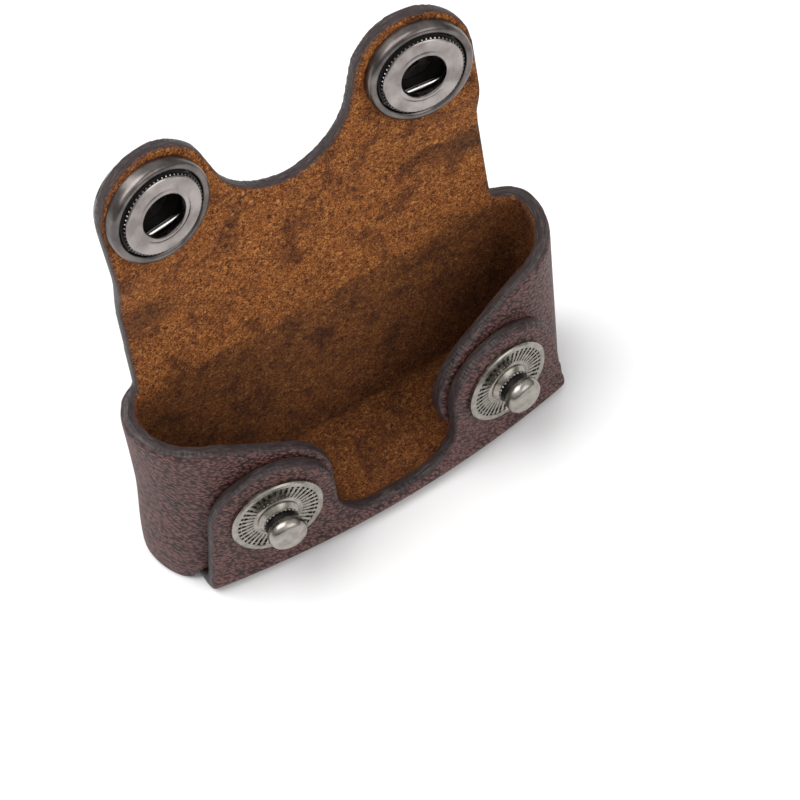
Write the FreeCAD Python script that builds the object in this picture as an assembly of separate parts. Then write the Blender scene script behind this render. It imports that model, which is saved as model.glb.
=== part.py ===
"""Leather head cover for a double-edge safety razor, with two press studs.

One cut piece of 2 mm leather is folded into a short open-topped pocket. A flap swings over the
pocket and snaps to the front. Sizes are in millimetres. The origin is on the ground under the
middle of the pocket, +X to the wearer's right along the pocket, +Y to the back and +Z up.
The pocket is modelled with its flap standing open.
"""
import FreeCAD
import Part
import math
import os

Vector = FreeCAD.Vector

# Leather
LEATHER = 2.0               # thickness of the hide
LAYER_GAP = 0.05            # air between a front tab and the wing end behind it
POCKET_DEPTH = 14.0         # back panel's inner face to the tabs' outer face at the studs
POCKET_HALF_LENGTH = 29.5   # centre to the outside of a wrapped end
BACK_CORNER = 4.3           # outside radius where the back panel turns into a wing
FRONT_CORNER = 9.0          # outside radius where a wing turns to the front
END_SPARE = 2.7             # depth of a wrapped end that its two corners leave over, with the front's bulge
CREASE_HEIGHT = 28.5        # fold line of the flap above the ground
FOLD_INSIDE = 0.8           # inside radius of the two folds along the base
BASE_CLEARANCE = 0.75       # edge of the base to the inside of a wrapped end
BEND_SHORT = 0.6            # the fold under the back panel stops this far short of its corner
RELIEF = 0.7                # width of the slit that frees a wing from that fold
RELIEF_ABOVE = 0.4          # height of that slit above the fold
RIM_DROP_BACK = 0.7         # rim below the crease where a wing leaves the back panel
RIM_DROP_END = 2.0          # the same half way round the end
RIM_DROP_FRONT = 3.3        # the same at the front corner
RIM_CORNER_OUT = 0.5        # that corner lies this far outside the start of the front curve
WING_MARGIN = 1.0           # a wing's rounded end beyond the tab's
WING_LIFT = 0.6             # air between a wing's lower edge and the base
WING_END_LIFT = 0.2         # a wing's rounded end stays this much higher still
TAB_MARGIN = 2.1            # leather round the stud's disc
TAB_NOTCH_CORNER = 6.0      # bottom corners of the gap between the tabs
TAB_NOTCH_RIM = 0.2         # upright lip left above the fold at the bottom of that gap

# Press studs
STUD_FROM_CORNER = 3.65     # stud to the start of the wing's front corner
STUD_HEIGHT = 12.0          # studs above the ground
FRONT_YAW = 7.0             # each stud is turned outwards by the bulge of the front, degrees
SNAPPED_GAP = 3.0           # tab face to flap face when snapped shut
DISC_RADIUS = 6.1
DISC_THICKNESS = 0.55
DISC_RING = 1.1             # width of the plain ring round the disc
DISC_DISH = 0.13            # depth of the disc's hollow face
DISC_EDGE = 0.2             # bevel of its edge
STUD_HEAD_RADIUS = 2.5
STUD_HEAD_ROUND = 1.15      # radius of the head's rounded edge
STUD_NECK_UNDERCUT = 0.6    # neck inside the head
STUD_FOOT_SPREAD = 0.2      # foot of the cone outside the head
STUD_FOOT_HEIGHT = 0.2      # upright edge of that foot
STUD_CONE_TOP = 0.75        # top of the cone above the disc
STUD_RISE = 3.75            # top of the head above the disc
RIVET_WALL = 0.35           # stud's neck round its rivet
RIVET_HEAD_RADIUS = 4.2
RIVET_HEAD_THICKNESS = 0.55
RIVET_HEAD_BEVEL = 0.6
RIVET_REACH = 1.4           # rivet's end above the tab face, inside the stud
SOCKET_RADIUS = 6.55
SOCKET_RISE = 2.3           # rolled rim above the flap's face
SHEET_METAL = 0.3           # wall of the pressed pieces
HEAD_CLEARANCE = 0.3        # the socket's opening round the stud's head
CUP_SPREAD = 0.45           # the cup that drops into the leather, wider than the opening
WIRE_RADIUS = 0.35          # spring wire
WIRE_CLEARANCE = 0.46       # wire to the neck of a snapped stud
WIRE_REST = 0.03            # running gap under a wire
CAP_INSET = 0.35            # cap narrower than the socket
CAP_RISE = 1.6              # top of the domed cap above the leather
POST_RADIUS = 1.95
POST_BORE = 1.3
FIT = 0.05                  # clearance between pieces that are pressed together

# Flap
FLAP_LEAN = 4.4             # the open flap leans back from upright, degrees
SOCKET_REACH = 27.6         # crease to the sockets along the flap
FLAP_TOP_LENGTH = 13.47     # crease to the second fold
FLAP_ROLL_LENGTH = 6.75     # second fold to the third
EAR_OUTSET = 0.1            # centre of a rounded ear outside its stud
EAR_MARGIN = 0.9            # leather round the socket
NOTCH_SPARE = 0.4           # least width between an ear and the round notch
NOTCH_RISE = 1.3            # centre of that notch beyond the sockets
FLAP_BACKWARD = 35.0        # the flap can bend this much further back, degrees
FOLD_SPARE = 2.0            # extra angle cut away at the crease so the edges never meet, degrees
FOLD_GAP = 0.02             # hair gap between the flap's segments

# Worked out from the sizes above
back_inside = POCKET_DEPTH / 2
back_outside = back_inside + LEATHER
fold_outside = FOLD_INSIDE + LEATHER
relief_height = fold_outside + RELIEF_ABOVE
back_corner_x = POCKET_HALF_LENGTH - BACK_CORNER
back_corner_y = back_outside - BACK_CORNER
front_corner = min(FRONT_CORNER, POCKET_DEPTH + LEATHER - BACK_CORNER - END_SPARE)
corner_x = POCKET_HALF_LENGTH - front_corner
stud_x = corner_x - STUD_FROM_CORNER
front_radius = stud_x / math.sin(math.radians(FRONT_YAW))
front_centre_y = front_radius * math.cos(math.radians(FRONT_YAW)) - POCKET_DEPTH / 2
wing_radius = front_radius - LEATHER - LAYER_GAP
corner_y = front_centre_y - math.sqrt((wing_radius - front_corner) ** 2 - corner_x ** 2)
base_half_width = POCKET_HALF_LENGTH - LEATHER - BASE_CLEARANCE
bend_half_width = back_corner_x - BEND_SHORT
rim_back = CREASE_HEIGHT - RIM_DROP_BACK
rim_end = CREASE_HEIGHT - RIM_DROP_END
rim_front = CREASE_HEIGHT - RIM_DROP_FRONT
rim_front_x = corner_x + RIM_CORNER_OUT
tab_radius = DISC_RADIUS + TAB_MARGIN
wing_end_radius = min(tab_radius + WING_MARGIN, STUD_HEIGHT - LEATHER - WING_LIFT - WING_END_LIFT)
stud_base_radius = STUD_HEAD_RADIUS + STUD_FOOT_SPREAD
stud_neck_radius = STUD_HEAD_RADIUS - STUD_NECK_UNDERCUT
rivet_radius = stud_neck_radius - RIVET_WALL
aperture_radius = STUD_HEAD_RADIUS + HEAD_CLEARANCE
socket_cup_radius = aperture_radius + CUP_SPREAD
cap_radius = SOCKET_RADIUS - CAP_INSET
flap_radius = front_radius + SNAPPED_GAP
socket_x = flap_radius * math.sin(math.radians(FRONT_YAW))
ear_x = stud_x + EAR_OUTSET
ear_radius = SOCKET_RADIUS + EAR_MARGIN
notch_radius = ear_x - ear_radius - NOTCH_SPARE
notch_centre = SOCKET_REACH + NOTCH_RISE
third_fold = FLAP_TOP_LENGTH + FLAP_ROLL_LENGTH
crease_bevel = (FLAP_LEAN + FLAP_BACKWARD) / 2 + FOLD_SPARE
TALL = 60.0                 # longer than any cut needs to be


def flat_face(points):
    """A face from points in order. A point written as (a, b) with b a 3-D point is the middle of an arc."""
    edges = []
    here = points[0]
    last = points[-1]
    closed = isinstance(last, tuple) and last[1].isEqual(points[0], 1e-7)
    steps = points[1:] if closed else points[1:] + [points[0]]
    for step in steps:
        if isinstance(step, tuple):
            middle, end = step
            edges.append(Part.Arc(here, middle, end).toShape())
            here = end
        else:
            edges.append(Part.LineSegment(here, step).toShape())
            here = step
    return Part.Face(Part.Wire(edges))


def front_view(points):
    """A prism through the whole pocket from an outline in X and Z."""
    def lift(p):
        if isinstance(p[0], tuple):
            return tuple(lift(q) for q in p)
        return Vector(p[0], -TALL / 2, p[1])
    return flat_face([lift(p) for p in points]).extrude(Vector(0, TALL, 0))


def tangent_point(point, centre, radius, side):
    """Where the line from point touches a circle; side is +1 for left of the way to the centre."""
    dx, dy = centre[0] - point[0], centre[1] - point[1]
    reach = math.hypot(dx, dy)
    half = math.asin(radius / reach)
    way = math.atan2(dy, dx) + side * half
    length = reach * math.cos(half)
    return (point[0] + length * math.cos(way), point[1] + length * math.sin(way))


def on_circle(centre, radius, degrees):
    """A point on a circle; 0 degrees is along the first axis."""
    turn = math.radians(degrees)
    return (centre[0] + radius * math.cos(turn), centre[1] + radius * math.sin(turn))


def bearing(centre, point):
    """The direction from centre to point, in degrees."""
    return math.degrees(math.atan2(point[1] - centre[1], point[0] - centre[0]))


def mirrored(shape):
    """The same piece on the other side of the pocket."""
    return shape.mirror(Vector(0, 0, 0), Vector(1, 0, 0))


def pocket_plan(inset):
    """The pocket's outline from above, inset from the outside of the wings."""
    middle = (0, front_centre_y)
    corner = (corner_x, corner_y)
    toward = bearing(middle, corner)
    front_end = on_circle(middle, wing_radius - inset, toward)
    corner_mid = on_circle(corner, front_corner - inset, toward / 2)
    back = (back_corner_x, back_corner_y)
    back_mid = on_circle(back, BACK_CORNER - inset, 45)
    back_y = back_outside - inset
    end_x = POCKET_HALF_LENGTH - inset

    def at(p, side=1):
        return Vector(side * p[0], p[1], 0)
    return flat_face([
        at((back_corner_x, back_y), -1),
        at((back_corner_x, back_y)),
        (at(back_mid), at((end_x, back_corner_y))),
        at((end_x, corner_y)),
        (at(corner_mid), at(front_end)),
        (Vector(0, front_centre_y - wing_radius + inset, 0), at(front_end, -1)),
        (at(corner_mid, -1), at((end_x, corner_y), -1)),
        at((end_x, back_corner_y), -1),
        (at(back_mid, -1), at((back_corner_x, back_y), -1)),
    ])


def wing_front_outline():
    """Seen from the front: the right wing's lobe behind the stud, its rim and its lower edge."""
    stud = (stud_x, STUD_HEIGHT)
    corner = (rim_front_x, rim_front)
    touch = tangent_point(corner, stud, wing_end_radius, -1)
    outside = POCKET_HALF_LENGTH + 1
    low = LEATHER + WING_LIFT
    step = base_half_width + WING_LIFT
    lowest = (stud_x, STUD_HEIGHT - wing_end_radius)
    return [
        lowest,
        ((on_circle(stud, wing_end_radius, 180)), touch),
        corner,
        (outside, rim_end),
        (outside, -1),
        (step, -1),
        (step, low),
    ]


def wing_back_outline():
    """Seen from the front: everything of the back half that stays, right side only."""
    outside = POCKET_HALF_LENGTH + 1
    return [
        (0, -1),
        (0, CREASE_HEIGHT),
        (back_corner_x, CREASE_HEIGHT),
        (back_corner_x + RELIEF / 2, rim_back),
        (outside, rim_end),
        (outside, -1),
    ]


def tab_outline():
    """Seen from the front: the right tab and its half of the gap that the handle leaves by."""
    stud = (stud_x, STUD_HEIGHT)
    foot = (base_half_width, 0)
    touch = tangent_point(foot, stud, tab_radius, -1)
    top = on_circle(stud, tab_radius, (180 + bearing(stud, touch)) / 2)
    inner = (stud_x - tab_radius, STUD_HEIGHT)
    notch_floor = fold_outside + TAB_NOTCH_RIM
    bend = min(TAB_NOTCH_CORNER, 0.8 * inner[0])
    corner = (inner[0] - bend, notch_floor + bend)
    return [
        (0, 0),
        (0, notch_floor),
        (corner[0], notch_floor),
        (on_circle(corner, bend, -45), (inner[0], corner[1])),
        inner,
        (top, touch),
        foot,
    ]


def both_sides(outline):
    """The prism of an outline, and its mirror image."""
    right = front_view(outline)
    return right.fuse(mirrored(right))


def plan_box(x0, x1, y0, y1, z0, z1):
    return Part.makeBox(x1 - x0, y1 - y0, z1 - z0, Vector(x0, y0, z0))


def fold_section(outside, way, height, to_point):
    """A folded strip in section: flat along the ground, round the fold and up to height.

    outside is where the upright's outer face stands and way points from it into the pocket.
    """
    corner = outside + way * fold_outside
    inner = outside + way * LEATHER
    reach = outside + way * 2 * fold_outside
    round_out = fold_outside * (1 - math.sqrt(0.5))
    centre_in = inner + way * FOLD_INSIDE
    round_in = FOLD_INSIDE * (1 - math.sqrt(0.5))
    bend_top = LEATHER + FOLD_INSIDE
    return flat_face([
        to_point(reach, 0),
        to_point(corner, 0),
        (to_point(outside + way * round_out, round_out), to_point(outside, fold_outside)),
        to_point(outside, height),
        to_point(inner, height),
        to_point(inner, bend_top),
        (to_point(inner + way * round_in, LEATHER + round_in), to_point(centre_in, LEATHER)),
        to_point(reach, LEATHER),
    ])


def make_front():
    """The two tabs and the fold they rise from, bulging forward."""
    height = STUD_HEIGHT + 2 * tab_radius
    section = fold_section(front_radius, -1, height, lambda r, z: Vector(0, front_centre_y - r, z))
    sweep = 2 * math.degrees(math.asin(POCKET_HALF_LENGTH / front_radius))
    axis = Vector(0, front_centre_y, 0)
    section.rotate(axis, Vector(0, 0, 1), -sweep / 2)
    band = section.revolve(axis, Vector(0, 0, 1), sweep)
    return band.common(both_sides(tab_outline()))


def make_back_fold():
    """The fold that joins the base to the back panel."""
    height = relief_height + LEATHER
    half = bend_half_width
    section = fold_section(back_outside, -1, height, lambda y, z: Vector(-half, y, z))
    return section.extrude(Vector(2 * half, 0, 0))


def make_base():
    """The flat base between the two folds, clear of the wings at its ends."""
    overlap = fold_outside + 1
    front_r = front_radius - overlap
    foot_y = front_centre_y - math.sqrt(front_r ** 2 - base_half_width ** 2)
    side_y = back_corner_y - RELIEF
    back_y = back_outside - overlap

    def at(x, y):
        return Vector(x, y, 0)
    return flat_face([
        at(-base_half_width, foot_y),
        (at(0, front_centre_y - front_r), at(base_half_width, foot_y)),
        at(base_half_width, side_y),
        at(bend_half_width, back_y),
        at(-bend_half_width, back_y),
        at(-base_half_width, side_y),
    ]).extrude(Vector(0, 0, LEATHER))


def make_wrap():
    """Back panel and the two wings that run round the ends and forward behind the tabs."""
    ring = pocket_plan(0).extrude(Vector(0, 0, CREASE_HEIGHT))
    ring = ring.cut(pocket_plan(LEATHER).extrude(Vector(0, 0, CREASE_HEIGHT)))
    half = POCKET_HALF_LENGTH + 1
    front_room = plan_box(-half, half, -TALL / 2, corner_y, -1, TALL)
    back_room = plan_box(-half, half, corner_y, TALL / 2, -1, TALL)
    wrap = ring.common(front_room).common(both_sides(wing_front_outline()))
    wrap = wrap.fuse(ring.common(back_room).common(both_sides(wing_back_outline())))
    slit = bend_half_width + RELIEF
    return wrap.cut(plan_box(-slit, slit, corner_y, TALL / 2, -1, relief_height))


def make_leather_body():
    """Back panel, wings, base and front tabs: one piece of leather, folded."""
    body = make_wrap().fuse([make_back_fold(), make_base(), make_front()])
    return cut_crease(body.removeSplitter(), -crease_bevel)


def cut_crease(shape, slope):
    """Bevels an edge at the crease, outer face only, so that the flap can also bend back.

    slope is the bevel's angle from level: below zero on the panel, above zero on the flap.
    """
    deep = LEATHER + 1
    rise = deep * math.tan(math.radians(slope))
    away = math.copysign(deep, -slope)
    width = 2 * POCKET_HALF_LENGTH

    def at(y, z):
        return Vector(-width / 2, back_inside + y, CREASE_HEIGHT + z)
    wedge = flat_face([at(0, 0), at(deep, rise), at(deep, away), at(0, away)])
    return shape.cut(wedge.extrude(Vector(width, 0, 0)))


def flap_place():
    """Flap frame: X along the pocket, Y up the flap from the crease, Z out of its flesh side."""
    lean = FreeCAD.Rotation(Vector(1, 0, 0), 90 - FLAP_LEAN)
    return FreeCAD.Placement(Vector(0, back_inside, CREASE_HEIGHT), lean)


def cup(x):
    """How far the flap's edges stand forward of its middle where it is fully cupped."""
    return flap_radius - math.sqrt(flap_radius ** 2 - x ** 2)


def flap_section(along, cupped):
    """A cross-section of the flap: a flat bar, or the same bar bent to the front's bulge."""
    wide = POCKET_HALF_LENGTH
    rise = cup(wide) if cupped else 0.0
    left, right = Vector(-wide, along, rise), Vector(wide, along, rise)
    down = Vector(0, 0, -LEATHER)
    if cupped:
        face = Part.Arc(left, Vector(0, along, 0), right).toShape()
        back = Part.Arc(right + down, Vector(0, along, -LEATHER), left + down).toShape()
    else:
        face = Part.LineSegment(left, right).toShape()
        back = Part.LineSegment(right + down, left + down).toShape()
    ends = [Part.LineSegment(right, right + down).toShape(),
            Part.LineSegment(left + down, left).toShape()]
    return Part.Wire([face, ends[0], back, ends[1]])


def flap_outline():
    """The flap's cut shape: tapering sides, two round ears and the round notch between them."""
    ear = (ear_x, SOCKET_REACH)
    notch = (0, notch_centre)
    root = (back_corner_x, 0)
    side = tangent_point(root, ear, ear_radius, -1)
    gap = math.hypot(ear[0], notch_centre - SOCKET_REACH)
    lean = bearing(notch, ear) - math.degrees(math.acos((notch_radius + ear_radius) / gap))
    notch_touch = on_circle(notch, notch_radius, lean)
    ear_touch = on_circle(ear, ear_radius, lean + 180)
    ear_top = on_circle(ear, ear_radius, 90)

    def at(p, way=1):
        return Vector(way * p[0], p[1], -TALL / 2)
    return flat_face([
        at(root, -1),
        at(root),
        at(side),
        (at(ear_top), at(ear_touch)),
        at(notch_touch),
        (at((0, notch_centre - notch_radius)), at(notch_touch, -1)),
        at(ear_touch, -1),
        (at(ear_top, -1), at(side, -1)),
    ]).extrude(Vector(0, 0, TALL))


def flap_piece(start, end, start_cupped, end_cupped):
    """The flap between two distances from the crease, in the flap frame."""
    walls = [flap_section(start, start_cupped), flap_section(end, end_cupped)]
    return Part.makeLoft(walls, True, True).common(flap_outline())


def snap_frame(x, along, inward):
    """Places a socket's axis on the flap: Z out of the flesh side, turned in towards the middle."""
    turn = FreeCAD.Rotation(Vector(0, 1, 0), inward)
    return FreeCAD.Placement(Vector(x, along, cup(abs(x))), turn)


def turned(points):
    """A solid turned on a lathe from its half section of (radius, height) points and arcs."""
    def lift(p):
        if isinstance(p[0], tuple):
            return tuple(lift(q) for q in p)
        return Vector(p[0], 0, p[1])
    face = flat_face([lift(p) for p in points])
    return face.revolve(Vector(0, 0, 0), Vector(0, 0, 1), 360)


def make_socket_case():
    """Pressed case: a cup through the leather, a flange on it and a rolled rim."""
    wall = SHEET_METAL
    rim = SOCKET_RADIUS
    inner = rim - wall
    cup_floor = -LEATHER + FIT
    shelf = SOCKET_RISE - 2 * wall
    return turned([
        (POST_RADIUS + FIT, cup_floor),
        (socket_cup_radius, cup_floor),
        (socket_cup_radius, 0),
        (rim, 0),
        (rim, shelf),
        ((rim - wall, SOCKET_RISE), (rim - 3 * wall, shelf + FIT)),
        (inner, shelf + FIT),
        (inner, wall),
        (socket_cup_radius - wall, wall),
        (socket_cup_radius - wall, cup_floor + wall),
        (POST_RADIUS + FIT, cup_floor + wall),
    ])


def make_socket_plate():
    """Face plate under the rolled rim, with a raised lip round the opening for the stud."""
    wall = SHEET_METAL
    top = SOCKET_RISE - 2 * wall
    edge = SOCKET_RADIUS - wall - FIT
    lip = aperture_radius + wall
    return turned([
        (aperture_radius, top - wall),
        (edge, top - wall),
        (edge, top),
        (edge - 3 * wall, top),
        (edge - 4 * wall, top + wall),
        (lip + wall, top + wall),
        ((lip, top + 1.8 * wall), (aperture_radius, top + wall)),
    ])


def wire_offset():
    return stud_neck_radius + WIRE_CLEARANCE + WIRE_RADIUS


def make_spring_wire(side):
    """A straight leg of the socket's spring, across the case beside the stud's neck."""
    offset = wire_offset()
    room = SOCKET_RADIUS - 2 * SHEET_METAL
    half = math.sqrt(room ** 2 - (offset + WIRE_RADIUS) ** 2)
    height = SHEET_METAL + WIRE_REST + WIRE_RADIUS
    start = Vector(-half, side * offset, height)
    return Part.makeCylinder(WIRE_RADIUS, 2 * half, start, Vector(1, 0, 0))


def dome_middle(rim, crown):
    """The middle point of an arc from the crown, on the axis, to a rim point: part of a sphere."""
    rise = rim[1] - crown
    radius = (rim[0] ** 2 + rise ** 2) / (2 * rise)
    out = rim[0] / 2
    return (out, crown + radius - math.sqrt(radius ** 2 - out ** 2))


def make_cap_shell():
    """Domed outside cap, its edge curled under."""
    wall = SHEET_METAL
    back = -LEATHER
    crown = back - CAP_RISE
    edge = back - 2 * wall
    outer = (cap_radius, edge)
    inner = (cap_radius - wall, edge)
    return turned([
        (0, crown),
        (dome_middle(outer, crown), outer),
        (cap_radius, back),
        (cap_radius - 3 * wall, back),
        (cap_radius - 3 * wall, back - wall),
        (cap_radius - wall, back - wall),
        inner,
        (dome_middle(inner, crown + wall), (0, crown + wall)),
    ])


def make_cap_post():
    """Rivet that joins the cap to the socket through the leather."""
    wall = SHEET_METAL
    back = -LEATHER
    plate = back - wall - FIT
    plate_radius = cap_radius - 2 * wall - FIT
    floor = back + FIT + wall
    return turned([
        (POST_BORE, plate - wall),
        (plate_radius, plate - wall),
        (plate_radius, plate),
        (POST_RADIUS, plate),
        (POST_RADIUS, floor),
        (socket_cup_radius - wall - FIT, floor),
        (socket_cup_radius - wall - FIT, floor + 0.8 * wall),
        (POST_BORE, floor + 0.8 * wall),
    ])


def make_stud_disc():
    """Washer under the stud: a plain outer ring round a shallow dished face."""
    ring = DISC_RADIUS - DISC_RING
    seat = stud_base_radius + DISC_EDGE
    return turned([
        (rivet_radius + FIT, 0),
        (DISC_RADIUS, 0),
        (DISC_RADIUS, DISC_THICKNESS - DISC_EDGE),
        (DISC_RADIUS - DISC_EDGE, DISC_THICKNESS),
        (ring, DISC_THICKNESS),
        (ring - DISC_DISH, DISC_THICKNESS - DISC_DISH),
        (seat, DISC_THICKNESS - DISC_DISH),
        (seat - DISC_DISH, DISC_THICKNESS),
        (rivet_radius + FIT, DISC_THICKNESS),
    ])


def make_stud():
    """Cone, neck and rounded head."""
    top = DISC_THICKNESS + STUD_RISE
    centre = (STUD_HEAD_RADIUS - STUD_HEAD_ROUND, top - STUD_HEAD_ROUND)
    under = 90 - math.degrees(math.acos((stud_neck_radius - centre[0]) / STUD_HEAD_ROUND))
    neck_top = on_circle(centre, STUD_HEAD_ROUND, under - 90)
    return turned([
        (0, RIVET_REACH),
        (rivet_radius, RIVET_REACH),
        (rivet_radius, DISC_THICKNESS),
        (stud_base_radius, DISC_THICKNESS),
        (stud_base_radius, DISC_THICKNESS + STUD_FOOT_HEIGHT),
        (stud_neck_radius, DISC_THICKNESS + STUD_CONE_TOP),
        neck_top,
        (on_circle(centre, STUD_HEAD_ROUND, 0), (centre[0], top)),
        (0, top),
    ])


def make_stud_rivet():
    """Rivet from inside the pocket through wing and tab into the stud."""
    inside = -(2 * LEATHER + LAYER_GAP)
    under = inside - RIVET_HEAD_THICKNESS
    round_off = RIVET_HEAD_BEVEL / 4
    return turned([
        (0, under),
        (RIVET_HEAD_RADIUS - RIVET_HEAD_BEVEL, under),
        ((RIVET_HEAD_RADIUS - round_off, under + round_off), (RIVET_HEAD_RADIUS, inside)),
        (rivet_radius, inside),
        (rivet_radius, RIVET_REACH),
        (0, RIVET_REACH),
    ])


def stud_place(side):
    """Stud frame: origin on the tab's outer face, Z straight out of it."""
    tip = FreeCAD.Rotation(Vector(1, 0, 0), 90)
    yaw = FreeCAD.Rotation(Vector(0, 0, 1), side * FRONT_YAW)
    origin = Vector(side * stud_x, -POCKET_DEPTH / 2, STUD_HEIGHT)
    return FreeCAD.Placement(origin, yaw.multiply(tip))


def socket_place(side):
    """Socket frame in the open flap."""
    on_flap = snap_frame(side * socket_x, SOCKET_REACH, -side * FRONT_YAW)
    return flap_place().multiply(on_flap)


def placed(shape, placement):
    moved = shape.copy()
    moved.Placement = placement
    return moved


def seat_cuts(placement, radius, low, high, hole):
    """Flats for a snap's two sides and the hole between them."""
    above = Part.makeCylinder(radius, 2, Vector(0, 0, high))
    below = Part.makeCylinder(radius, 2, Vector(0, 0, low - 2))
    bore = Part.makeCylinder(hole, high - low + 2, Vector(0, 0, low - 1))
    return [placed(s, placement) for s in (above, below, bore)]


def save(name, shape):
    shape.exportStep(os.path.join("parts", name + ".step"))
    print(name, "solids", len(shape.Solids), "valid", shape.isValid(), "mm3", round(shape.Volume, 2))


def main():
    os.makedirs("parts", exist_ok=True)
    sides = {"left": -1, "right": 1}

    body = make_leather_body()
    rivet_depth = -(2 * LEATHER + LAYER_GAP)
    for side in sides.values():
        for tool in seat_cuts(stud_place(side), DISC_RADIUS + FIT, rivet_depth, 0, rivet_radius + FIT):
            body = body.cut(tool)
    save("leather_body", body)

    flap = flap_place()
    top = placed(flap_piece(0, FLAP_TOP_LENGTH - FOLD_GAP, False, False), flap)
    save("flap_top", cut_crease(top, crease_bevel - FLAP_LEAN))
    roll = flap_piece(FLAP_TOP_LENGTH, third_fold - FOLD_GAP, False, True)
    save("flap_roll", placed(roll, flap))
    ears = flap_piece(third_fold, SOCKET_REACH + ear_radius + 1, True, True)
    for name, side in sides.items():
        half = Part.makeBox(TALL, TALL, TALL, Vector(-TALL if side < 0 else 0, 0, -TALL / 2))
        ear = placed(ears.common(half), flap)
        seat_radius = max(cap_radius, SOCKET_RADIUS) + FIT
        for tool in seat_cuts(socket_place(side), seat_radius, -LEATHER, 0, socket_cup_radius + FIT):
            ear = ear.cut(tool)
        save(name + "_ear", ear)

    for name, side in sides.items():
        socket = socket_place(side)
        save(name + "_cap_shell", placed(make_cap_shell(), socket))
        save(name + "_cap_post", placed(make_cap_post(), socket))
        save(name + "_socket_case", placed(make_socket_case(), socket))
        save(name + "_socket_plate", placed(make_socket_plate(), socket))
        save(name + "_upper_wire", placed(make_spring_wire(1), socket))
        save(name + "_lower_wire", placed(make_spring_wire(-1), socket))
        stud = stud_place(side)
        save(name + "_stud_disc", placed(make_stud_disc(), stud))
        save(name + "_stud", placed(make_stud(), stud))
        save(name + "_stud_rivet", placed(make_stud_rivet(), stud))


main()
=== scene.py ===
import bmesh
import bpy
import math
from mathutils import Matrix, Vector


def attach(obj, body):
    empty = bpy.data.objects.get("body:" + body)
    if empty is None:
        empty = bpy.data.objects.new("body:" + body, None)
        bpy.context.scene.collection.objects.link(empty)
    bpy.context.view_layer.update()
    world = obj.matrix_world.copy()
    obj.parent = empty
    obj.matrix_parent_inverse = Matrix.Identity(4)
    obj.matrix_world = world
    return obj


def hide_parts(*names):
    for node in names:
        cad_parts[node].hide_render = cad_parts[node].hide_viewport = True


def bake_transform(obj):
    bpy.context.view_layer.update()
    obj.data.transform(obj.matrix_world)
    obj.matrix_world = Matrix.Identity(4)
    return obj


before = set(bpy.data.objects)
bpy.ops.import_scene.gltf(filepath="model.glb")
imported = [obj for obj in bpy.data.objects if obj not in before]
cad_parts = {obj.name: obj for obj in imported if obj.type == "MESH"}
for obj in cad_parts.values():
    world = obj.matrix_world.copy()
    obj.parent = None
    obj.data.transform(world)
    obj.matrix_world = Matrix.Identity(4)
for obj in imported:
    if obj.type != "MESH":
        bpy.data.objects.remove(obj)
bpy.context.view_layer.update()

MM = 0.001
scene = bpy.context.scene

# ---------------------------------------------------------------------------------------------
# Camera: a long lens held above the left front corner, looking down into the open pocket.
# The cover stands across the frame with its flap up.
CAMERA_PLACE = Vector((-71.62, -157.02, 256.53)) * MM
CAMERA_RIGHT = Vector((0.83771, -0.53985, -0.08241))
CAMERA_DOWN = Vector((-0.48354, -0.66312, -0.57137))
CAMERA_AHEAD = Vector((0.25381, 0.51849, -0.81655))


def from_axes(x, y, z, origin, scale=1.0):
    """A placement whose own axes point along x, y and z."""
    turn = Matrix((x, y, z)).transposed().to_4x4()
    return Matrix.Translation(origin) @ turn @ Matrix.Scale(scale, 4)


camera_data = bpy.data.cameras.new("camera")
camera_data.lens = 107.9
camera_data.sensor_width = 36.0
camera_data.clip_start = 0.01
camera = bpy.data.objects.new("camera", camera_data)
camera.matrix_world = from_axes(CAMERA_RIGHT, -CAMERA_DOWN, -CAMERA_AHEAD, CAMERA_PLACE)
scene.collection.objects.link(camera)
scene.camera = camera

# ---------------------------------------------------------------------------------------------
# Leather: one blank of 2 mm vegetable-tanned cowhide, die-cut, its edges burnished, then folded
# while damp. Outside is the grain, dyed oxblood brown and waxed; inside is the raw flesh side.
# All sizes are in mm until a point is folded.
SKIN = 2.0                   # thickness
BACK_CORNER = (25.2, 4.7)    # plan centres of the two corners of a wrapped end
FRONT_CORNER = (20.5, 4.682)
BACK_CORNER_RADIUS = 3.3     # radii to the middle of the hide
FRONT_CORNER_RADIUS = 8.0
FRONT_CENTRE_Y = 130.233     # the bulge of the front is struck from here
FRONT_RADIUS = 138.264       # outside of the tabs
WING_RADIUS = 135.214        # middle of a wing, behind its tab
FOLD_RADIUS = 1.8            # middle of the two folds along the base
FOLD_CENTRE = 2.8            # height of their centres
FOLD_CRISP = 0.17            # the outside of these folds is hammered this much crisper
BASE_LENGTH = 11.4           # flat of the base between its folds
BACK_MIDDLE = 8.0            # middle of the back panel
CREASE = 28.5                # height of the flap's crease
CREASE_EASING = 3.0          # the lean builds up over this much either side of the crease
LEAN = math.radians(4.4)     # the open flap leans back
CUP_RADIUS = 141.264         # the flap's upper end is cupped to match the front
CUP_START = 12.5             # height above the crease where the cupping begins
CUP_RUN = 8.5                # and how much further up it is complete
STUD = (16.85, 12.0)         # across, height
SOCKET_REACH = 27.6          # crease to the sockets
SOCKET_X = 17.2156
CUP_HOLE = 3.3               # hole for a socket's cup
SIDE_SLUMP = 0.75            # the rims of both wrapped ends have slumped this far to the right
SLUMP_START = 17.0           # they slump from this far across
SLUMP_RUN = 8.0              # and fully after this much more
FOOT_FLARE = {-1: 0.95, 1: 0.8}      # how far the left and right ends spring out at the foot
FLARE_HEIGHT = {-1: 16.0, 1: 28.5}   # height where that has faded to nothing
FREE_RUN = 3.5               # a wing is free of the back panel after this run
FLARE_END = 11.0             # the flare begins to fade toward the tab here
FLARE_FADE = 3.4             # and is gone after this much more
BASE_SLIT = 0.05             # the wings are slit from the base this far beyond the back panel
WING_FOOT = -1.0             # nothing of a wing reaches below this
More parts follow.
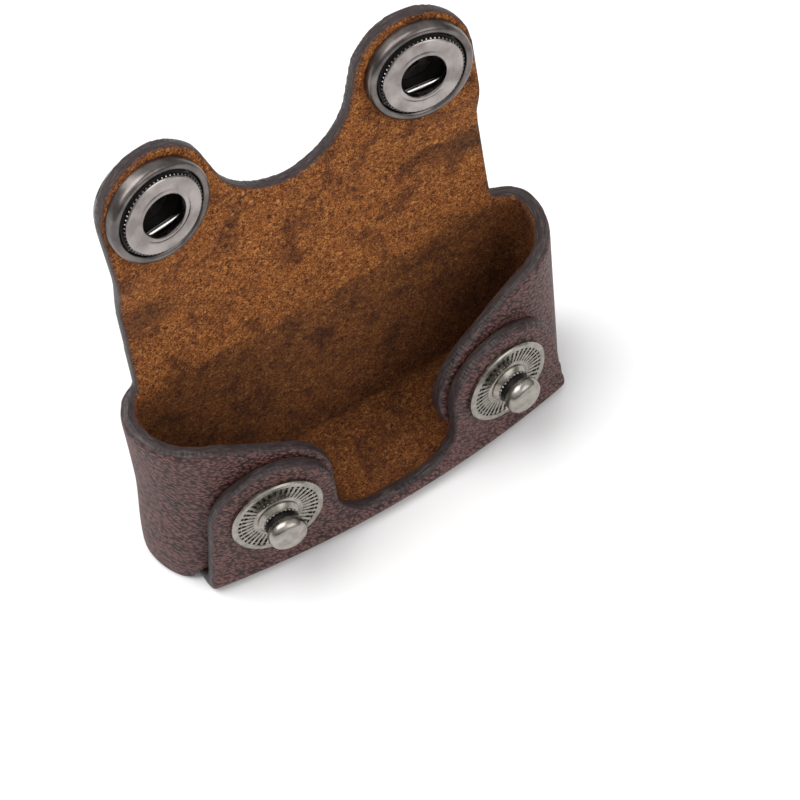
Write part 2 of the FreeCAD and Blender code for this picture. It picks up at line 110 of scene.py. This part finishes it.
FIRST_SEAM = 35.5            # the blank is three pieces here, split where nothing bends
SECOND_SEAM = 45.5
VOXEL = 0.4                  # size of the blank's faces
FACE_SQUARE = 0.93           # a point whose normal is this square to the hide is on no cut edge
EDGE_BLEND = 0.35            # and it is wholly on one when less square by this much
RUBBINGS = 3                 # passes that rub the blank's edges round

# Corners of the right half of the flat blank, from the middle of the notch round to the middle
# of the gap between the tabs: across, along, radius of the rounding.
BLANK_CORNERS = [
    (6.645, 48.3, 9.1), (11.51, 63.55, 7.45), (24.19, 63.55, 7.45), (25.25, 27.8, 0.7),
    (30.4, 26.65, 6.0), (42.0, 25.4, 7.0), (55.86, 17.19, 9.2), (55.86, 2.8, 9.2),
    (37.6, 2.3, 1.5), (35.9, 0.0, 1.2), (25.3, 0.0, 0.4), (25.3, 3.2, 0.3), (24.6, 3.2, 0.3),
    (24.6, -1.03, 1.0), (26.75, -2.23, 1.0), (26.75, -12.3, 1.2), (24.02, -31.66, 8.2),
    (8.65, -31.66, 8.2), (8.65, -14.46, 6.0),
]
LEFT_WAIST = (-24.15, 45.0, 60.0)    # the left edge of the flap is cut a little hollow


def smooth(t):
    t = min(max(t, 0.0), 1.0)
    return t * t * (3 - 2 * t)


def round_corner(mesh, vertex, radius):
    """Rounds one corner of a flat outline, a hair short so that two roundings can't meet."""
    one, two = [(e.other_vert(vertex).co - vertex.co).normalized() for e in vertex.link_edges]
    turn = math.pi - one.angle(two)
    reach = 0.99 * radius * math.tan(turn / 2)
    bmesh.ops.bevel(mesh, geom=[vertex], offset=reach, offset_type="OFFSET", affect="VERTICES",
                    segments=14, profile=0.5, material=-1)


def cut_blank():
    """The flat blank as a closed solid, grain side up, in millimetres."""
    blank = bmesh.new()
    left = [(-x, y, r) for x, y, r in reversed(BLANK_CORNERS)]
    left.insert(-3, LEFT_WAIST)
    rounds = []
    for x, y, radius in BLANK_CORNERS + left:
        rounds.append((blank.verts.new((x, y, -SKIN / 2)), radius))
    face = blank.faces.new([v for v, _ in rounds])
    for vertex, radius in rounds:
        round_corner(blank, vertex, radius)
    grown = bmesh.ops.extrude_face_region(blank, geom=blank.faces[:])
    top = [g for g in grown["geom"] if isinstance(g, bmesh.types.BMVert)]
    bmesh.ops.translate(blank, verts=top, vec=(0, 0, SKIN))
    bmesh.ops.recalc_face_normals(blank, faces=blank.faces[:])
    return blank


def finished(mesh, name):
    """A mesh object from a bmesh, at the origin."""
    data = bpy.data.meshes.new(name)
    mesh.to_mesh(data)
    mesh.free()
    piece = bpy.data.objects.new(name, data)
    scene.collection.objects.link(piece)
    return piece


def with_modifiers(piece):
    """A bmesh of a piece as its modifiers leave it. The piece itself is removed."""
    seen = piece.evaluated_get(bpy.context.evaluated_depsgraph_get())
    made = bmesh.new()
    made.from_mesh(seen.to_mesh())
    bpy.data.objects.remove(piece)
    return made


def even_blank():
    """The blank with small even faces, socket holes punched and its cut edges rubbed round."""
    punches = bmesh.new()
    for side in (-1, 1):
        hole = Matrix.Translation((side * SOCKET_X, CREASE + SOCKET_REACH, 0))
        bmesh.ops.create_cone(punches, cap_ends=True, segments=48, radius1=CUP_HOLE,
                              radius2=CUP_HOLE, depth=3 * SKIN, matrix=hole)
    punch = finished(punches, "punch")
    blank = finished(cut_blank(), "blank")
    cut = blank.modifiers.new("punch", "BOOLEAN")
    cut.object = punch
    cut.operation = "DIFFERENCE"
    cut.solver = "EXACT"
    even = blank.modifiers.new("even", "REMESH")
    even.mode = "VOXEL"
    even.voxel_size = VOXEL
    even.use_smooth_shade = True
    made = with_modifiers(blank)
    bpy.data.objects.remove(punch)
    for _ in range(RUBBINGS):
        bmesh.ops.smooth_vert(made, verts=made.verts[:], factor=0.5, use_axis_x=True,
                              use_axis_y=True, use_axis_z=True)
    made.normal_update()
    thick = SKIN / 2 / max(v.co.z for v in made.verts)
    flat = made.verts.layers.float_vector.new("flat")
    cut_edge = made.verts.layers.float.new("cut_edge")
    for v in made.verts:
        v.co.z *= thick
        v[flat] = v.co
        v[cut_edge] = smooth((FACE_SQUARE - abs(v.normal.z)) / EDGE_BLEND)
    return made


def around(centre, radius, turn, out):
    """A point on a plan arc that starts toward the back and turns to the right end."""
    reach = radius + out
    return (centre[0] + reach * math.sin(turn), centre[1] + reach * math.cos(turn))


front_bearing = math.atan2(FRONT_CENTRE_Y - FRONT_CORNER[1], FRONT_CORNER[0])
back_run = BACK_CORNER_RADIUS * math.pi / 2
straight_run = BACK_CORNER[1] - FRONT_CORNER[1]
front_run = FRONT_CORNER_RADIUS * front_bearing


def fold_wing(run, out):
    """Plan place of a wing at a distance from where it leaves the back panel."""
    if run < back_run:
        return around(BACK_CORNER, BACK_CORNER_RADIUS, run / BACK_CORNER_RADIUS, out)
    run -= back_run
    if run < straight_run:
        return (BACK_CORNER[0] + BACK_CORNER_RADIUS + out, BACK_CORNER[1] - run)
    run -= straight_run
    if run < front_run:
        turn = math.pi / 2 + run / FRONT_CORNER_RADIUS
        return around(FRONT_CORNER, FRONT_CORNER_RADIUS, turn, out)
    turn = front_bearing + (run - front_run) / WING_RADIUS
    reach = WING_RADIUS + out
    return (reach * math.cos(turn), FRONT_CENTRE_Y - reach * math.sin(turn))


def crisp(turn, out):
    """Reach from the centre of a fold, longer half way round on the outside."""
    return (FOLD_RADIUS + out) * (1 + FOLD_CRISP * math.sin(2 * turn) * max(out, 0.0))


def fold_base(across, run, out):
    """Place of the base, the front fold and a tab, at a distance from the back fold's start."""
    back_bend = FOLD_RADIUS * math.pi / 2
    back_y = BACK_MIDDLE + SKIN / 2 - FOLD_CENTRE
    if run < back_bend:
        turn = run / FOLD_RADIUS
        reach = crisp(turn, out)
        return (across, back_y + reach * math.cos(turn), FOLD_CENTRE - reach * math.sin(turn))
    run -= back_bend
    bend_centre = FRONT_RADIUS - FOLD_CENTRE
    bend_y = FRONT_CENTRE_Y - math.sqrt(bend_centre ** 2 - across ** 2)
    if run < BASE_LENGTH:
        return (across, back_y + (bend_y - back_y) * run / BASE_LENGTH, SKIN / 2 - out)
    run -= BASE_LENGTH
    turn = min(run / FOLD_RADIUS, math.pi / 2)
    rise = max(run - back_bend, 0.0)
    reach = crisp(turn, out)
    middle = bend_centre + FOLD_RADIUS * math.sin(turn)
    tilt = across / middle
    away = (reach - FOLD_RADIUS) * math.sin(turn)
    return (across + away * tilt,
            FRONT_CENTRE_Y - math.sqrt(middle ** 2 - across ** 2) - away * math.sqrt(1 - tilt ** 2),
            FOLD_CENTRE + rise - reach * math.cos(turn))


def fold_flap(across, along, out):
    """Place on the back panel or the flap: upright, then leaning back and cupped."""
    past = along - CREASE
    straight = max(past - CREASE_EASING, 0.0)
    t = min(max((past + CREASE_EASING) / (2 * CREASE_EASING), 0.0), 1.0)
    lean = LEAN * smooth(t)
    back = 2 * CREASE_EASING * LEAN * (t ** 3 - t ** 4 / 2) + straight * math.sin(LEAN)
    rise = min(past, CREASE_EASING) + straight * math.cos(LEAN)
    cupped = smooth((past - CUP_START) / CUP_RUN)
    bow = cupped * (CUP_RADIUS - math.sqrt(CUP_RADIUS ** 2 - across ** 2))
    depth = -SKIN / 2 - out + bow
    return (across, BACK_MIDDLE - SKIN / 2 + back - depth * math.cos(lean),
            CREASE + rise + depth * math.sin(lean))


def fold(point):
    """Folds a point of the flat blank into its place on the cover, in metres."""
    across, along, out = point
    side = -1 if across < 0 else 1
    run = abs(across) - BACK_CORNER[0]
    if along < FOLD_CENTRE and (run < BASE_SLIT or along < WING_FOOT):
        place = fold_base(across, FOLD_CENTRE - along, out)
    elif run > 0 and along < CREASE:
        free = smooth(run / FREE_RUN)
        flare = FOOT_FLARE[side] * (1 - smooth(along / FLARE_HEIGHT[side]))
        flare *= 1 - smooth((run - FLARE_END) / FLARE_FADE)
        x, y = fold_wing(run, out + flare * free)
        slump = SIDE_SLUMP * smooth(along / CREASE) * smooth((x - SLUMP_START) / SLUMP_RUN)
        place = (side * x + slump * free, y, along)
    else:
        place = fold_flap(across, along, out)
    return Vector(place) * MM


def leather_piece(name, blank, low=None, high=None):
    """The part of the blank between two seams, closed at them and folded."""
    part = blank.copy()
    for height, way in ((low, -1), (high, 1)):
        if height is None:
            continue
        cut = bmesh.ops.bisect_plane(part, geom=part.verts[:] + part.edges[:] + part.faces[:],
                                     dist=1e-5, plane_co=(0, height, 0), plane_no=(0, way, 0),
                                     clear_outer=True)
        rim = [g for g in cut["geom_cut"] if isinstance(g, bmesh.types.BMEdge)]
        bmesh.ops.triangle_fill(part, edges=rim, use_beauty=True)
        for edge in rim:
            edge.smooth = False
    flat = part.verts.layers.float_vector["flat"]
    for v in part.verts:
        v[flat] = v.co
        v.co = fold(v.co)
    bmesh.ops.recalc_face_normals(part, faces=part.faces[:])
    for face in part.faces:
        face.smooth = True
    return finished(part, name)


def linear(code):
    """The linear colour of an sRGB hex code."""
    parts = [int(code[i:i + 2], 16) / 255 for i in (1, 3, 5)]
    parts = [p / 12.92 if p <= 0.04045 else ((p + 0.055) / 1.055) ** 2.4 for p in parts]
    return (*parts, 1.0)


def node(tree, kind, values=(), **settings):
    """Adds a node with its settings; a value that is a socket is linked."""
    made = tree.nodes.new(kind)
    for name, value in settings.items():
        setattr(made, name, value)
    for place, value in dict(values).items():
        if isinstance(value, bpy.types.NodeSocket):
            tree.links.new(value, made.inputs[place])
        else:
            made.inputs[place].default_value = value
    return made


def new_material(name):
    """An empty material with its output; returns it with its node tree."""
    made = bpy.data.materials.new(name)
    made.use_nodes = True
    made.node_tree.nodes.clear()
    return made, made.node_tree


def ramp(tree, source, stops):
    """A colour ramp through (position, hex colour) stops."""
    made = node(tree, "ShaderNodeValToRGB", {"Fac": source})
    band = made.color_ramp
    while len(band.elements) < len(stops):
        band.elements.new(0.5)
    for element, (place, code) in zip(band.elements, stops):
        element.position = place
        element.color = linear(code)
    return made.outputs["Color"]


def noise(tree, place, scale, detail=2.0, roughness=0.5, distortion=0.0):
    """Soft noise with scale features to the unit."""
    return node(tree, "ShaderNodeTexNoise", {"Vector": place, "Scale": scale, "Detail": detail,
                                             "Roughness": roughness, "Distortion": distortion})


def mix(tree, factor, one, two, **settings):
    """A mix of two colours."""
    made = node(tree, "ShaderNodeMix", {0: factor, 6: one, 7: two}, data_type="RGBA", **settings)
    return made.outputs[2]


def calc(tree, operation, one, two=0.0):
    """One sum on values or sockets."""
    return node(tree, "ShaderNodeMath", {0: one, 1: two}, operation=operation).outputs[0]


def remap(tree, value, low, high, to_low=0.0, to_high=1.0, way="LINEAR"):
    """A value stretched from low and high to other ends, and held at them."""
    made = node(tree, "ShaderNodeMapRange", {"Value": value, "From Min": low, "From Max": high,
                                             "To Min": to_low, "To Max": to_high},
                interpolation_type=way)
    return made.outputs[0]


# Waxed oxblood grain outside, raw flesh side inside, rubbed cut edges. All three read the place
# on the flat blank, in mm, so the pebbles and fibres follow the folds.
PEBBLE = (0.55, 0.28, 1.6)   # length, width and depth of a pebble of the grain
PEBBLE_SLANT = math.radians(30)      # their rows slant, as the hide was stretched
PEBBLE_TOP = 0.3             # a pale painted highlight fills it this far from its middle, in its own sizes, and none from here on
PEBBLE_VALLEY = 0.64         # and not at all from here on
GRAIN_HEIGHT = 0.00015       # height of the pebbles and of the fibres, m
FIBRE_HEIGHT = 0.00022
MARK_HEIGHT = CREASE + 11.0  # dark handling marks near each side of the flap
MARK_ACROSS = (15.0, 21.0)   # where they begin and are full
MARK_HALF_WIDTH = (0.6, 3.0)
PAINTED_SHADOW_LINE = (CREASE + 1.2, CREASE - 1.5)     # a painted shadow darkens the flesh side from the crease down
PAINTED_SHADOW_WANDER = 3.0            # and its edge wanders over about this much
PAINTED_SHADOW_STRENGTH = 0.42
FOOT_SHADE_ACROSS = (23.2, 24.6)   # painted shade darkens the flesh side at the foot
FOOT_SHADE_ALONG = (1.0, -1.0)

leather, t = new_material("waxed_cowhide")
place = node(t, "ShaderNodeAttribute", attribute_name="flat").outputs["Vector"]
edge = node(t, "ShaderNodeAttribute", attribute_name="cut_edge").outputs["Fac"]
across, along, out = node(t, "ShaderNodeSeparateXYZ", {0: place}).outputs

# Grain: small pebbles with pale tops of painted highlight and dark valleys between, over dye that
# is uneven every 6 mm or so.
slant = node(t, "ShaderNodeMapping", {0: place, "Rotation": (0, 0, PEBBLE_SLANT),
                                      "Scale": PEBBLE}, vector_type="TEXTURE")
drift = noise(t, place, 0.5)
warp = node(t, "ShaderNodeVectorMath", {0: slant.outputs[0], 1: drift.outputs["Color"]},
            operation="ADD")
pebble = node(t, "ShaderNodeTexVoronoi", {"Vector": warp.outputs[0], "Scale": 1.0,
                                          "Randomness": 0.9, "Smoothness": 0.35},
              feature="SMOOTH_F1").outputs["Distance"]
fine_grain = noise(t, place, 6.0, detail=3.0).outputs["Fac"]
dye = noise(t, place, 0.16, detail=4.0, roughness=0.6).outputs["Fac"]
dye_colour = ramp(t, dye, [(0.3, "#1c0c0b"), (0.5, "#2b1514"), (0.7, "#3b1f1d")])
# Pale pebble tops: a painted highlight that stands in for the gloss of the wax.
painted_highlight = remap(t, pebble, PEBBLE_TOP, PEBBLE_VALLEY, 1.0, 0.0)
painted_highlight_speckle = calc(t, "MULTIPLY", painted_highlight, fine_grain)
grain_with_painted_highlight = mix(t, painted_highlight_speckle, dye_colour, linear("#926560"))

# Flesh side: curling tan fibres in clumps of about 0.4 mm, mottled over 3 to 4 mm.
fibre = noise(t, place, 2.4, detail=5.0, roughness=0.74, distortion=1.4).outputs["Fac"]
mottle = noise(t, place, 0.28, detail=3.0).outputs["Fac"]
fibre_colour = ramp(t, fibre, [(0.36, "#27140a"), (0.45, "#693b1c"), (0.54, "#a0632f"),
                               (0.66, "#dca666")])
mottle_colour = ramp(t, mottle, [(0.3, "#b3a194"), (0.5, "#fff3e4"), (0.7, "#fff0d8")])
flesh = mix(t, 1.0, fibre_colour, mottle_colour, blend_type="MULTIPLY")

# Dark handling marks on the flesh side, broken up by its fibres.
side_place = calc(t, "ABSOLUTE", across)
mark_off = calc(t, "ABSOLUTE", calc(t, "SUBTRACT", along, MARK_HEIGHT))
mark = calc(t, "MULTIPLY", remap(t, side_place, *MARK_ACROSS, way="SMOOTHSTEP"),
            remap(t, mark_off, *MARK_HALF_WIDTH, 1.0, 0.0, way="SMOOTHSTEP"))
marked = mix(t, calc(t, "MULTIPLY", mark, fibre), flesh, linear("#231812"))

# Below the crease a painted shadow darkens the flesh side.
painted_shadow_height = calc(t, "ADD", along, calc(t, "MULTIPLY", mottle, PAINTED_SHADOW_WANDER))
painted_shadow = remap(t, painted_shadow_height, *PAINTED_SHADOW_LINE, 0.0, PAINTED_SHADOW_STRENGTH, way="SMOOTHSTEP")
with_painted_shadow = mix(t, painted_shadow, marked, linear("#2a160d"))

# Painted shade on the flesh side where the wings cross the base.
foot_shade = calc(t, "MULTIPLY", remap(t, side_place, *FOOT_SHADE_ACROSS, way="SMOOTHSTEP"),
            remap(t, along, *FOOT_SHADE_ALONG, way="SMOOTHSTEP"))
with_foot_shade = mix(t, foot_shade, with_painted_shadow, linear("#1f1614"))

# Cut edges: dark, rubbed with wax, faintly streaked along the layers of the hide.
streak_place = node(t, "ShaderNodeMapping", {0: place, "Scale": (0.5, 0.5, 5.0)}).outputs[0]
streak = noise(t, streak_place, 1.2, detail=4.0).outputs["Fac"]
edge_colour = ramp(t, streak, [(0.3, "#231b1b"), (0.55, "#3b3131"), (0.75, "#5c5050")])

grain_side = calc(t, "GREATER_THAN", out, 0.0)
colour = mix(t, edge, mix(t, grain_side, with_foot_shade, grain_with_painted_highlight), edge_colour)
face_rough = remap(t, grain_side, 0.0, 1.0, 0.95, 0.56)
rough = node(t, "ShaderNodeMix", {0: edge, 2: face_rough, 3: 0.48}, data_type="FLOAT").outputs[0]
grain_bump = node(t, "ShaderNodeBump", {"Strength": 1.0, "Distance": GRAIN_HEIGHT,
                                        "Height": pebble}, invert=True).outputs[0]
fibre_bump = node(t, "ShaderNodeBump", {"Strength": 1.0, "Distance": FIBRE_HEIGHT,
                                        "Height": fibre}).outputs[0]
normal = node(t, "ShaderNodeMix", {0: grain_side, 4: fibre_bump, 5: grain_bump},
              data_type="VECTOR").outputs[1]
skin = node(t, "ShaderNodeBsdfPrincipled", {"Base Color": colour, "Roughness": rough,
                                            "IOR": 1.38, "Normal": normal})
node(t, "ShaderNodeOutputMaterial", {"Surface": skin.outputs[0]})

# The three pieces of the one hide, each folded to its place.
def flap_point(along, out=0.0):
    """A point in the middle of the flap, in metres."""
    return fold((0.0, CREASE + along, out))


hide = even_blank()
pocket_hide = leather_piece("pocket_hide", hide, high=FIRST_SEAM)
pocket_hide.data.materials.append(leather)
flap_point(-3.0)
flap_point(3.0)
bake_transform(pocket_hide)
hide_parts("leather_body")
flap_hide = leather_piece("flap_hide", hide, low=FIRST_SEAM, high=SECOND_SEAM)
flap_hide.data.materials.append(leather)
flap_point(10.5)
flap_point(16.5)
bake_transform(flap_hide)
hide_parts("flap_top", "flap_roll")
ear_hide = leather_piece("ear_hide", hide, low=SECOND_SEAM)
ear_hide.data.materials.append(leather)
flap_point(17.3)
flap_point(20.9)
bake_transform(ear_hide)
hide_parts("left_ear", "right_ear")
hide.free()

# ---------------------------------------------------------------------------------------------
# Studs: a pressed washer with a plain ring and a sunburst of fine flutes, and a turned stud with a
# toothed collar, riveted through the tab and the wing behind it. Bright nickel on brass.
STUD_FACE = -7.0             # front of the tab at the studs
YAW = math.radians(7.0)      # the bulge of the front turns each stud outwards
FLUTES = 40
WASHER = [(1.6, 0.0), (6.1, 0.0), (6.1, 0.36), (5.92, 0.55), (5.38, 0.56), (5.3, 0.47),
          (4.95, 0.46), (4.88, 0.45), (4.32, 0.44), (3.3, 0.41), (3.05, 0.44), (2.9, 0.55),
          (1.6, 0.55)]
FLUTE_BAND = (3.4, 4.2)      # radii of the flutes' shallow run, their deep ends and the dots, both in painted shade
FLUTE_END_BAND = (4.4, 4.85)
DOT_BAND = (4.96, 5.28)
STUD_TURNING = [(0.0, 0.5), (2.7, 0.5), (2.72, 0.7), (2.45, 1.0), (2.2, 1.2), (2.2, 1.42),
                (1.9, 1.47), (1.9, 2.2), (2.25, 2.35), (2.46, 2.65), (2.52, 3.05), (2.47, 3.5),
                (2.27, 3.88), (1.95, 4.12), (1.4, 4.25), (0.7, 4.3), (0.0, 4.31)]
NECK = (1.43, 2.3)           # heights of the stud's neck, in painted shade
STUD_STEPS = 64              # faces round a stud
COLLAR_TEETH = {"count": 26, "radius": 2.22, "height": 1.38, "size": 0.15,
                "squash": (1.0, 1.0, 1.3)}


def plating(name, per_metre, detail, tones, rough):
    """A plated metal with haze; rough is one value, or two that it drifts between."""
    made, t = new_material(name)
    spot = node(t, "ShaderNodeTexCoord").outputs["Object"]
    haze = noise(t, spot, per_metre, detail).outputs["Fac"]
    if isinstance(rough, tuple):    # nearly all the haze lies between 0.3 and 0.7
        rough = remap(t, haze, 0.3, 0.7, *rough)
    shine = node(t, "ShaderNodeBsdfPrincipled", {"Base Color": ramp(t, haze, tones),
                                                 "Metallic": 1.0, "Roughness": rough})
    node(t, "ShaderNodeOutputMaterial", {"Surface": shine.outputs[0]})
    return made


# Nickel over brass, tumbled: bright, faintly warm, with very light handling haze of about 1 mm.
nickel = plating("polished_nickel_on_brass", 900.0, 3.0, [(0.3, "#827d76"), (0.7, "#a5a098")],
                 (0.2, 0.36))

# Painted shade, nearly black, for the flute ends, dots and necks of the studs and the bores, rim
# floors and toothed walls of the sockets.
painted_shade_black, t = new_material("painted_shade_recess")
shade_shader = node(t, "ShaderNodeBsdfPrincipled", {"Base Color": linear("#1d1b1a"), "Metallic": 0.6,
                                            "Roughness": 0.5})
node(t, "ShaderNodeOutputMaterial", {"Surface": shade_shader.outputs[0]})


def lathe(section, steps):
    """A solid turned about Z from a closed half section; points at radius 0 lie on the axis."""
    made = bmesh.new()
    ring = [made.verts.new((r, 0, z)) for r, z in section]
    pairs = list(zip(ring, ring[1:]))
    if section[0][0] > 0:
        pairs.append((ring[-1], ring[0]))
    edges = [made.edges.new(pair) for pair in pairs]
    bmesh.ops.spin(made, geom=ring + edges, cent=(0, 0, 0), axis=(0, 0, 1), angle=math.tau,
                   steps=steps, use_merge=True)
    bmesh.ops.remove_doubles(made, verts=made.verts[:], dist=1e-4)
    bmesh.ops.recalc_face_normals(made, faces=made.faces[:])
    return made


def in_ring(face, low, high):
    """Whether a face of a turned piece lies between two radii and looks out of it."""
    middle = face.calc_center_median()
    return low < middle.xy.length < high and face.normal.z > 0.5


def every_other(faces):
    """Every second face round a turned piece."""
    return sorted(faces, key=lambda f: math.atan2(*f.calc_center_median().xy))[::2]


def press(made, band, rim, depth, material_index=0):
    """Presses down every second face of a ring, inside a rim, and gives it a material."""
    faces = every_other([f for f in made.faces if in_ring(f, *band)])
    bmesh.ops.inset_individual(made, faces=faces, thickness=rim, depth=-depth)
    for face in faces:
        face.material_index = material_index


def seat(made, placement, name, *materials, sharp=35.0):
    """Puts a turned piece in place, shades it and gives it its materials."""
    bmesh.ops.transform(made, matrix=placement, verts=made.verts[:])
    for face in made.faces:
        face.smooth = True
    for e in made.edges:
        e.smooth = len(e.link_faces) == 2 and e.calc_face_angle() < math.radians(sharp)
    piece = finished(made, name)
    for material in materials:
        piece.data.materials.append(material)
    return piece


def facing(axis, up, origin):
    """A placement from millimetres to metres, with its Z along axis and its Y nearest up."""
    axis = Vector(axis).normalized()
    across = Vector(up).cross(axis).normalized()
    return from_axes(across, axis.cross(across), axis, Vector(origin) * MM, MM)


def add_teeth(made, count, radius, height, size, squash=(1, 1, 1)):
    """A ring of small beads."""
    for i in range(count):
        turn = Matrix.Rotation(math.tau * i / count, 4, "Z")
        bead = turn @ Matrix.Translation((radius, 0, height)) @ Matrix.Diagonal((*squash, 1))
        bmesh.ops.create_icosphere(made, subdivisions=1, radius=size, matrix=bead)


for side, word in ((-1, "left"), (1, "right")):
    out = facing((side * math.sin(YAW), -math.cos(YAW), 0), (0, 0, 1),
                 (side * STUD[0], STUD_FACE, STUD[1]))
    washer = lathe(WASHER, 2 * FLUTES)
    press(washer, FLUTE_BAND, rim=0.04, depth=0.1)
    # The flute ends and the dots are painted shade.
    press(washer, FLUTE_END_BAND, rim=0.03, depth=0.22, material_index=1)
    press(washer, DOT_BAND, rim=0.03, depth=0.3, material_index=1)
    piece = seat(washer, out, word + "_fluted_washer", nickel, painted_shade_black)
    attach(piece, "case")
    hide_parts(word + "_stud_disc")

    stud = lathe(STUD_TURNING, STUD_STEPS)
    # The neck is painted shade.
    for face in stud.faces:
        if NECK[0] < face.calc_center_median().z < NECK[1]:
            face.material_index = 1
    add_teeth(stud, **COLLAR_TEETH)
    piece = seat(stud, out, word + "_ball_stud", nickel, painted_shade_black)
    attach(piece, "case")
    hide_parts(word + "_stud")

# ---------------------------------------------------------------------------------------------
# Sockets: a pressed case with a rolled rim, a face plate with a toothed wall and a raised lip that
# stands a little proud of the rim, and two spring wires inside. Plated black nickel; each socket
# is clenched to a domed cap behind the flap.
RIM = [(3.25, 0.0), (6.45, 0.0), (6.55, 0.12), (6.55, 1.12), (6.5, 1.46), (6.36, 1.7),
       (6.14, 1.82), (5.88, 1.82), (5.66, 1.72), (5.52, 1.58), (5.48, 1.44), (5.54, 1.32),
       (6.2, 1.3), (6.25, 0.3), (2.95, 0.3), (2.95, -1.6), (2.0, -1.6), (2.0, -1.95),
       (3.25, -1.95)]
FACE_PLATE = [(2.8, 1.4), (5.4, 1.4), (5.4, 1.48), (5.16, 1.5), (5.08, 1.6), (5.04, 2.0),
              (4.92, 2.12), (4.7, 2.14), (4.1, 2.1), (3.6, 2.08), (3.42, 2.14), (3.22, 2.25),
              (3.02, 2.25), (2.86, 2.15), (2.8, 2.0)]
SOCKET_STEPS = 96            # faces round a socket
CUP_BORE = 3.2               # inside this radius the case is painted shade, and on the floor in its rim
RIM_FLOOR = (0.2, 1.3)
PLATE_WALL = 5.0             # outside this radius and below this height the plate is painted shade
PLATE_WALL_TOP = 2.03
SOCKET_TEETH = {"count": 60, "radius": 5.1, "height": 1.82, "size": 0.15,
                "squash": (1.0, 0.9, 1.5)}

# Black nickel over pressed brass: a grey mirror, cloudy over 2 to 3 mm.
gunmetal = plating("black_nickel_plate", 420.0, 4.0, [(0.35, "#7e7774"), (0.65, "#a39c99")],
                   (0.16, 0.34))

# The rolled rim is the same plate, rubbed: darker, and a little softer in its reflections.
rim_metal = plating("worn_rim_plate", 500.0, 4.0, [(0.35, "#55504e"), (0.65, "#77706d")], 0.3)

# Drawn steel wire, bright, with hair-fine lines along it.
spring, t = new_material("drawn_spring_wire")
line = node(t, "ShaderNodeMapping", {0: node(t, "ShaderNodeTexCoord").outputs["Object"],
                                     "Scale": (200.0, 6000.0, 6000.0)}).outputs[0]
tone = ramp(t, noise(t, line, 1.0).outputs["Fac"], [(0.3, "#b8b6b2"), (0.7, "#e4e2de")])
shine = node(t, "ShaderNodeBsdfPrincipled", {"Base Color": tone, "Metallic": 1.0,
                                             "Roughness": 0.25})
node(t, "ShaderNodeOutputMaterial", {"Surface": shine.outputs[0]})

up_flap = Vector((0, math.sin(LEAN), math.cos(LEAN)))
off_flap = Vector((0, -math.cos(LEAN), math.sin(LEAN)))
for side, word in ((-1, "left"), (1, "right")):
    bow = CUP_RADIUS - math.sqrt(CUP_RADIUS ** 2 - SOCKET_X ** 2)
    origin = Vector((side * SOCKET_X, BACK_MIDDLE - SKIN / 2, CREASE))
    origin += SOCKET_REACH * up_flap + bow * off_flap
    axis = math.cos(YAW) * off_flap - side * math.sin(YAW) * Vector((1, 0, 0))
    out = facing(axis, up_flap, origin)
    rim = lathe(RIM, SOCKET_STEPS)
    for face in rim.faces:
        middle = face.calc_center_median()
        on_floor = RIM_FLOOR[0] < middle.z < RIM_FLOOR[1] and face.normal.z > 0.5
        # The bore and the rim floor are painted shade.
        if middle.xy.length < CUP_BORE or on_floor:
            face.material_index = 1
    piece = seat(rim, out, word + "_rolled_rim", rim_metal, painted_shade_black)
    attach(piece, "flap_front")
    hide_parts(word + "_socket_case")

    plate = lathe(FACE_PLATE, SOCKET_STEPS)
    for face in plate.faces:
        middle = face.calc_center_median()
        # The toothed wall below the plate's face is painted shade.
        if middle.xy.length > PLATE_WALL and middle.z < PLATE_WALL_TOP:
            face.material_index = 1
    add_teeth(plate, **SOCKET_TEETH)
    piece = seat(plate, out, word + "_face_plate", gunmetal, painted_shade_black)
    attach(piece, "flap_front")
    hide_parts(word + "_socket_plate")

# The caps, posts, rivets and wires keep their designed shapes and take these finishes.
FINISHES = {"cap_shell": gunmetal, "cap_post": gunmetal, "upper_wire": spring,
            "lower_wire": spring, "stud_rivet": nickel}
for name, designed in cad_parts.items():
    for ending, finish in FINISHES.items():
        if name.endswith(ending):
            for held in designed.material_slots:
                held.link = "OBJECT"
                held.material = finish

# ---------------------------------------------------------------------------------------------
# Studio: a white sweep, a broad soft light from the upper left behind the flap, a weaker one from
# the right in front and a pale room all round.
white, t = new_material("white_paper_sweep")
paper = node(t, "ShaderNodeBsdfPrincipled", {"Base Color": linear("#f4f4f4"), "Roughness": 0.9})
node(t, "ShaderNodeOutputMaterial", {"Surface": paper.outputs[0]})
sweep = bmesh.new()
bmesh.ops.create_grid(sweep, x_segments=2, y_segments=2, size=1.5)
floor = finished(sweep, "floor")
floor.data.materials.append(white)


def soft_light(name, place, size, watts):
    """A square soft box that faces the cover."""
    data = bpy.data.lights.new(name, "AREA")
    data.shape = "SQUARE"
    data.size = size
    data.energy = watts
    box = bpy.data.objects.new(name, data)
    place = Vector(place)
    turn = place.to_track_quat("Z", "Y").to_matrix().to_4x4()
    box.matrix_world = Matrix.Translation(place) @ turn
    scene.collection.objects.link(box)


soft_light("window", (-0.3, 0.2, 0.8), 0.7, 6.0)
soft_light("fill", (0.35, -0.6, 0.6), 0.6, 2.0)
world = bpy.data.worlds.new("room")
scene.world = world
world.use_nodes = True
t = world.node_tree
sky = node(t, "ShaderNodeTexCoord").outputs["Generated"]
height = node(t, "ShaderNodeSeparateXYZ", {0: sky})
walls = ramp(t, height.outputs[2], [(0.0, "#9a9a9a"), (0.25, "#a4a4a4"), (0.5, "#f4f4f4"),
                                    (1.0, "#ffffff")])
t.links.new(walls, t.nodes["Background"].inputs[0])
t.nodes["Background"].inputs[1].default_value = 0.85
scene.view_settings.view_transform = "Standard"
